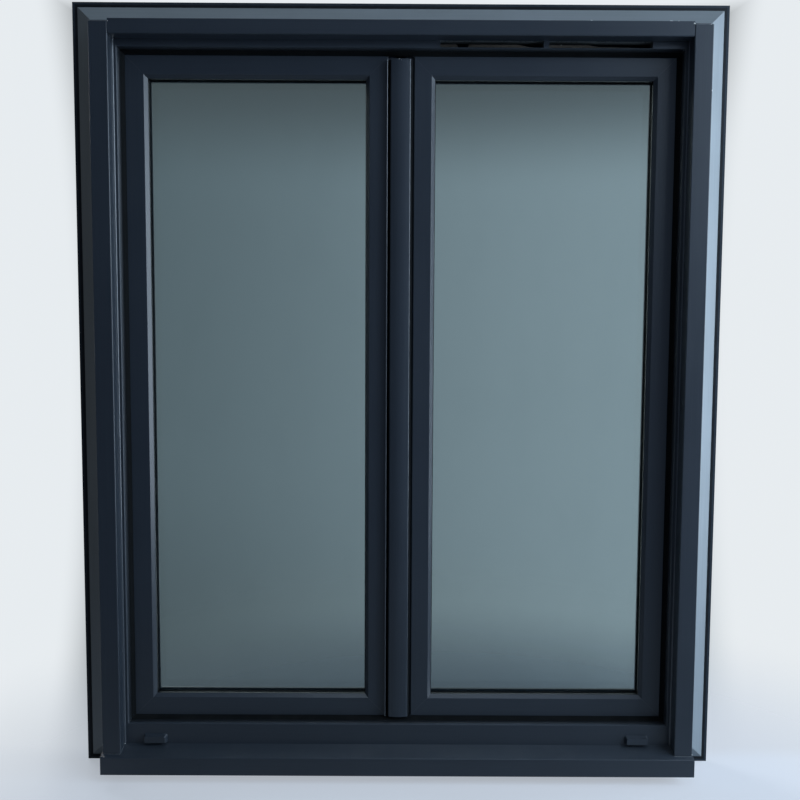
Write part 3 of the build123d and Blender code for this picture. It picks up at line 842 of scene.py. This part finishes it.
# Burrs that the cutter left along the top and bottom edges of the air-inlet slots
slot_edges, burr_depth, burr_end = [], frame_front + 0.8 * MM, 1.0 * MM
for left in slot_lefts:
    start, end = left + burr_end, left + slot_length - burr_end
    for height in (slot_high + 0.2 * MM, slot_low + 0.4 * MM):
        slot_edges.append([(start, burr_depth, height), (end, burr_depth, height)])
grow(
    "slot_burrs", slot_edges, burr_tree, hole_shade_and_burr_black, "anthracite_skin",
    Spacing=0.0021, Length=0.0018, Width=0.0009, Seed=5,
)


def piece_from_form(name, form, material):
    """Turns a finished form into a piece of the window."""
    bmesh.ops.recalc_face_normals(form, faces=form.faces)
    mesh = bpy.data.meshes.new(name)
    form.to_mesh(mesh)
    form.free()
    mesh.materials.append(material)
    piece = bpy.data.objects.new(name, mesh)
    bpy.context.scene.collection.objects.link(piece)
    settle(piece)


def make_torn_lips():
    """Ragged lower lips left inside the air-inlet slots, notched where holes were drilled."""
    draw = random.Random(11)
    tall, low, gone = 5.2 * MM, 2.2 * MM, 0.3 * MM
    # Distance along each slot in mm, and the lip's height there
    profiles = (
        (
            (0.0, tall), (28.0, tall), (30.0, gone), (46.0, gone), (48.0, tall),
            (130.0, tall), (147.0, low), (158.0, gone), (172.0, gone),
        ),
        (
            (0.0, tall), (66.0, tall), (80.0, low), (105.0, low),
            (150.0, 1.2 * MM), (156.0, gone), (172.0, gone),
        ),
    )
    front, thickness, step = frame_front + 1.6 * MM, 2.0 * MM, 1.5 * MM
    back, foot = front + thickness, slot_low - 0.2 * MM
    form = bmesh.new()
    for start, profile in zip(slot_lefts, profiles):
        columns = []
        count = int(slot_length / step)
        for i in range(count + 1):
            along = slot_length * i / count
            for (x0, h0), (x1, h1) in zip(profile, profile[1:]):
                if x0 * MM <= along <= x1 * MM + 1e-9:
                    height = h0 + (h1 - h0) * (along / MM - x0) / (x1 - x0)
                    break
            height = max(gone, height + draw.uniform(-0.45, 0.25) * MM)
            x = start + along
            columns.append([
                form.verts.new((x, front, foot)), form.verts.new((x, front, slot_low + height)),
                form.verts.new((x, back, slot_low + height * 0.9)), form.verts.new((x, back, foot)),
            ])
        for before, after in zip(columns, columns[1:]):
            for k in range(4):
                form.faces.new((before[k], before[(k + 1) % 4], after[(k + 1) % 4], after[k]))
        form.faces.new(columns[0])
        form.faces.new(columns[-1])
    piece_from_form("slot_torn_lips", form, torn_lip)


def make_chips():
    """White shards where the skin is chipped: trim corners and edges, and the cover strip's top end."""
    draw = random.Random(29)
    trim_front, cover_front, face = trim_low.y / MM, cover_low.y / MM, frame_front / MM
    trim_top, cover_top = head_trim_high.z / MM, cover_high.z / MM
    # Middle and half sizes, in mm
    shards = (
        (478.4, trim_front + 0.1, 1277.8, 2.4, 0.7, 1.9),
        (310.0, trim_front + 0.5, trim_top - 0.1, 2.2, 0.9, 0.7),
        (440.0, trim_front + 0.5, trim_top - 0.1, 4.0, 0.9, 0.7),
        (452.0, trim_front + 0.5, trim_top - 0.1, 2.4, 0.8, 0.6),
        (509.7, trim_front + 0.4, 1171.5, 0.9, 0.8, 2.4),
        (505.5, trim_front + 0.2, 1276.8, 2.0, 0.6, 0.8),
        (-477.6, trim_front + 0.2, 1277.0, 1.3, 0.6, 1.1),
        (-2.6, cover_front + 0.3, cover_top - 0.4, 1.7, 0.8, 1.2),
        (1.1, cover_front + 0.1, 1229.0, 0.9, 0.5, 1.0),
        (265.7, face + 0.3, 1250.8, 0.8, 0.7, 1.2),
        (-509.6, trim_front + 0.5, 60.0, 0.5, 0.5, 9.0),
        (509.8, trim_front + 0.6, 47.4, 1.6, 0.7, 1.3),
        (-477.6, face - 3.0, 53.6, 1.0, 1.6, 0.8),
    )
    form = bmesh.new()
    for x, y, z, half_x, half_y, half_z in shards:
        corners = []
        for i in range(14):
            spin, lift = draw.uniform(0, 2 * math.pi), draw.uniform(-1, 1)
            ring = math.sqrt(1 - lift * lift) * draw.uniform(0.75, 1.0)
            offset = (half_x * ring * math.cos(spin), half_y * ring * math.sin(spin), half_z * lift)
            point = ((x + offset[0]) * MM, (y + offset[1]) * MM, (z + offset[2]) * MM)
            corners.append(form.verts.new(point))
        hull = bmesh.ops.convex_hull(form, input=corners)
        unused = [part for part in hull["geom_interior"] if isinstance(part, bmesh.types.BMVert)]
        bmesh.ops.delete(form, geom=unused, context="VERTS")
    piece_from_form("skin_chips", form, chipped)


def make_meeting_plugs():
    """Moulded plugs between the leaves, beyond the ends of the room-side cover strip."""
    strip_low, strip_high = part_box("room_cover_strip")
    core_low, core_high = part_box("centre_core")
    edge_low, edge_high = left_meeting_low.z - leaf_flange, left_meeting_high.z + leaf_flange
    half_width = right_meeting_low.x - 0.1 * MM
    front, back = leaf_back - 14 * MM, leaf_back - 0.6 * MM
    spans = (
        (edge_low + 0.4 * MM, min(core_low.z - 0.2 * MM, strip_low.z + 8 * MM)),
        (max(core_high.z + 0.2 * MM, strip_high.z - 8 * MM), edge_high - 0.4 * MM),
    )
    form = bmesh.new()
    for bottom, top in spans:
        size = (2 * half_width, back - front, top - bottom)
        centre = Matrix.Translation((0.0, (front + back) / 2, (bottom + top) / 2))
        block = bmesh.ops.create_cube(form, size=1.0, matrix=centre @ Matrix.Diagonal((*size, 1.0)))
        edges = {edge for corner in block["verts"] for edge in corner.link_edges}
        bmesh.ops.bevel(form, geom=list(edges), offset=0.5 * MM, segments=2, affect="EDGES")
    piece_from_form("meeting_plugs", form, moulded)


make_torn_lips()
make_chips()
make_meeting_plugs()

# Floor, light and camera
floor_height = cad_low.z
BACKDROP_LEFT = (0.155, 0.187, 0.205, 1)
BACKDROP_LOW_LEFT = (0.105, 0.125, 0.135, 1)
BACKDROP_RIGHT = (0.40, 0.465, 0.505, 1)
BACKDROP_TOP = (0.10, 0.11, 0.112, 1)
BACKDROP_PALE = (0.80, 0.84, 0.87, 1)
FRONT_LEFT = (0.045, 0.064, 0.10, 1)
FRONT_RIGHT = (0.125, 0.17, 0.25, 1)
FLOOR = (0.18, 0.21, 0.25, 1)
FLOOR_NEAR = (0.38, 0.42, 0.48, 1)
FLOOR_GLOW = (0.50, 0.535, 0.585, 1)
FLOOR_GLOW_NEAR = (0.40, 0.43, 0.475, 1)


def make_floor():
    """Pale floor that fades into the backdrop away from the window."""
    mesh = bpy.data.meshes.new("studio_floor")
    reach = 4.0
    corners = [(x * reach, y * reach, floor_height) for x, y in ((-1, -1), (1, -1), (1, 1), (-1, 1))]
    mesh.from_pydata(corners, [], [(0, 1, 2, 3)])
    floor = bpy.data.objects.new("studio_floor", mesh)
    bpy.context.scene.collection.objects.link(floor)
    material = bpy.data.materials.new("studio floor")
    material.use_nodes = True
    tree = material.node_tree
    tree.nodes.clear()
    position = tree.nodes.new("ShaderNodeTexCoord").outputs["Object"]
    away = place(tree, "ShaderNodeVectorMath", operation="DISTANCE")
    tree.links.new(position, away.inputs[0])
    away.inputs[1].default_value = (0.1, -0.35, floor_height)
    fade = ramp(tree, away.outputs["Value"], 0.55, 1.3)
    diffuse = tree.nodes.new("ShaderNodeBsdfDiffuse")
    depth = axes(tree, position)[1]
    # Paler in a band by the sill
    by_sill, by_wall = ramp(tree, depth, -0.20, -0.14), ramp(tree, depth, 0.0, 0.06, 1.0, 0.0)
    near = calc(tree, "MULTIPLY", by_sill, by_wall)
    feed(tree, diffuse.inputs[0], tint(tree, near, FLOOR, FLOOR_NEAR))
    glow = tree.nodes.new("ShaderNodeEmission")
    feed(tree, glow.inputs[0], tint(tree, near, FLOOR_GLOW, FLOOR_GLOW_NEAR))
    path = tree.nodes.new("ShaderNodeLightPath")
    mirrored = calc(tree, "MAXIMUM", path.outputs["Is Glossy Ray"], path.outputs["Is Transmission Ray"])
    faint = calc(tree, "MULTIPLY", mirrored, 0.07)
    feed(tree, glow.inputs[1], calc(tree, "MAXIMUM", path.outputs["Is Camera Ray"], faint))
    pale = tree.nodes.new("ShaderNodeAddShader")
    tree.links.new(diffuse.outputs[0], pale.inputs[0])
    tree.links.new(glow.outputs[0], pale.inputs[1])
    clear = tree.nodes.new("ShaderNodeBsdfTransparent")
    mixed = tree.nodes.new("ShaderNodeMixShader")
    tree.links.new(fade, mixed.inputs[0])
    tree.links.new(pale.outputs[0], mixed.inputs[1])
    tree.links.new(clear.outputs[0], mixed.inputs[2])
    output = tree.nodes.new("ShaderNodeOutputMaterial")
    tree.links.new(mixed.outputs[0], output.inputs["Surface"])
    mesh.materials.append(material)


def make_world():
    """Soft even light, and a backdrop for the camera, gloss and glass with painted light and shade: darker
    to the left, lower left and top, lighter to the right, pale beyond the window's sides and top.
    """
    world = bpy.data.worlds.new("studio")
    bpy.context.scene.world = world
    world.use_nodes = True
    tree = world.node_tree
    tree.nodes.clear()
    path = tree.nodes.new("ShaderNodeLightPath")
    seen = calc(tree, "MAXIMUM", path.outputs["Is Camera Ray"], path.outputs["Is Glossy Ray"])
    seen = calc(tree, "MAXIMUM", seen, path.outputs["Is Transmission Ray"])
    heading = axes(tree, tree.nodes.new("ShaderNodeTexCoord").outputs["Generated"])
    # Painted light and shade on the backdrop: darker left and lower left, lighter right, darker at the top;
    # gloss and glass see a dim front, lighter to the right, where the camera sees it pale
    across = ramp(tree, heading[0], -0.45, 0.45)
    left = tint(tree, ramp(tree, heading[2], -0.36, -0.12), BACKDROP_LOW_LEFT, BACKDROP_LEFT)
    colour = tint(tree, across, left, BACKDROP_RIGHT)
    colour = tint(tree, ramp(tree, heading[2], 0.18, 0.31, 0.0, 0.9), colour, BACKDROP_TOP)
    beside = ramp(tree, calc(tree, "ABSOLUTE", heading[0]), 0.31, 0.38)
    above = ramp(tree, heading[2], 0.33, 0.37)
    colour = tint(tree, calc(tree, "MAXIMUM", beside, above), colour, BACKDROP_PALE)
    front = tint(tree, across, FRONT_LEFT, FRONT_RIGHT)
    front = tint(tree, path.outputs["Is Camera Ray"], front, BACKDROP_PALE)
    colour = tint(tree, ramp(tree, heading[1], 0.4, 0.7), front, colour)
    ambient = tree.nodes.new("ShaderNodeBackground")
    ambient.inputs[0].default_value = (0.96, 0.97, 0.95, 1)
    ambient.inputs[1].default_value = 0.065
    pale = tree.nodes.new("ShaderNodeBackground")
    feed(tree, pale.inputs[0], colour)
    pale.inputs[1].default_value = 1.0
    mixed = tree.nodes.new("ShaderNodeMixShader")
    tree.links.new(seen, mixed.inputs[0])
    tree.links.new(ambient.outputs[0], mixed.inputs[1])
    tree.links.new(pale.outputs[0], mixed.inputs[2])
    output = tree.nodes.new("ShaderNodeOutputWorld")
    tree.links.new(mixed.outputs[0], output.inputs["Surface"])


def softbox(name, place_at, aim_at, width, height, power, colour):
    """Area lamp turned to a point, out of the camera's sight."""
    lamp = bpy.data.lights.new(name, "AREA")
    lamp.shape = "RECTANGLE"
    lamp.size, lamp.size_y = width, height
    lamp.energy = power
    lamp.color = colour
    holder = bpy.data.objects.new(name, lamp)
    bpy.context.scene.collection.objects.link(holder)
    holder.location = place_at
    holder.rotation_euler = (Vector(aim_at) - Vector(place_at)).to_track_quat("-Z", "Y").to_euler()
    holder.visible_camera = False
    holder.visible_transmission = False


def make_camera():
    """Camera fitted to the photograph: level with the middle, turned slightly down."""
    lens = bpy.data.cameras.new("camera")
    lens.sensor_width = 36.0
    lens.lens = 36.092
    camera = bpy.data.objects.new("camera", lens)
    bpy.context.scene.collection.objects.link(camera)
    turn = Matrix.Rotation(math.radians(-0.089), 4, "Z")
    tilt = Matrix.Rotation(math.radians(90 - 3.868), 4, "X")
    roll = Matrix.Rotation(math.radians(0.292), 4, "Z")
    camera.matrix_world = Matrix.Translation((-0.0008, -1.4214, 0.7519)) @ turn @ tilt @ roll
    bpy.context.scene.camera = camera


make_floor()
make_world()
middle = ((cad_low.x + cad_high.x) / 2, 0.0, (cad_low.z + cad_high.z) / 2)
softbox("right key", (1.9, -0.3, 0.9), (0.0, -0.05, 0.7), 1.9, 2.0, 29.0, (0.75, 0.875, 1.0))
softbox("side strip", (1.95, -0.46, 0.75), (0.0, -0.05, 0.7), 0.45, 1.7, 8.0, (0.66, 0.83, 1.0))
softbox("front fill", (2.3, -1.9, 2.0), (0.0, -0.05, 0.75), 1.4, 1.4, 23.5, (0.68, 0.84, 1.0))
softbox("top fill", (0.2, -0.9, 2.8), (0.0, 0.0, 1.2), 1.4, 0.8, 4.5, (0.74, 0.88, 1.0))
softbox("room fill", (-1.9, 2.0, 2.4), middle, 1.4, 1.4, 32.0, (1.0, 1.0, 1.0))
make_camera()

bpy.context.scene.view_settings.view_transform = "Standard"
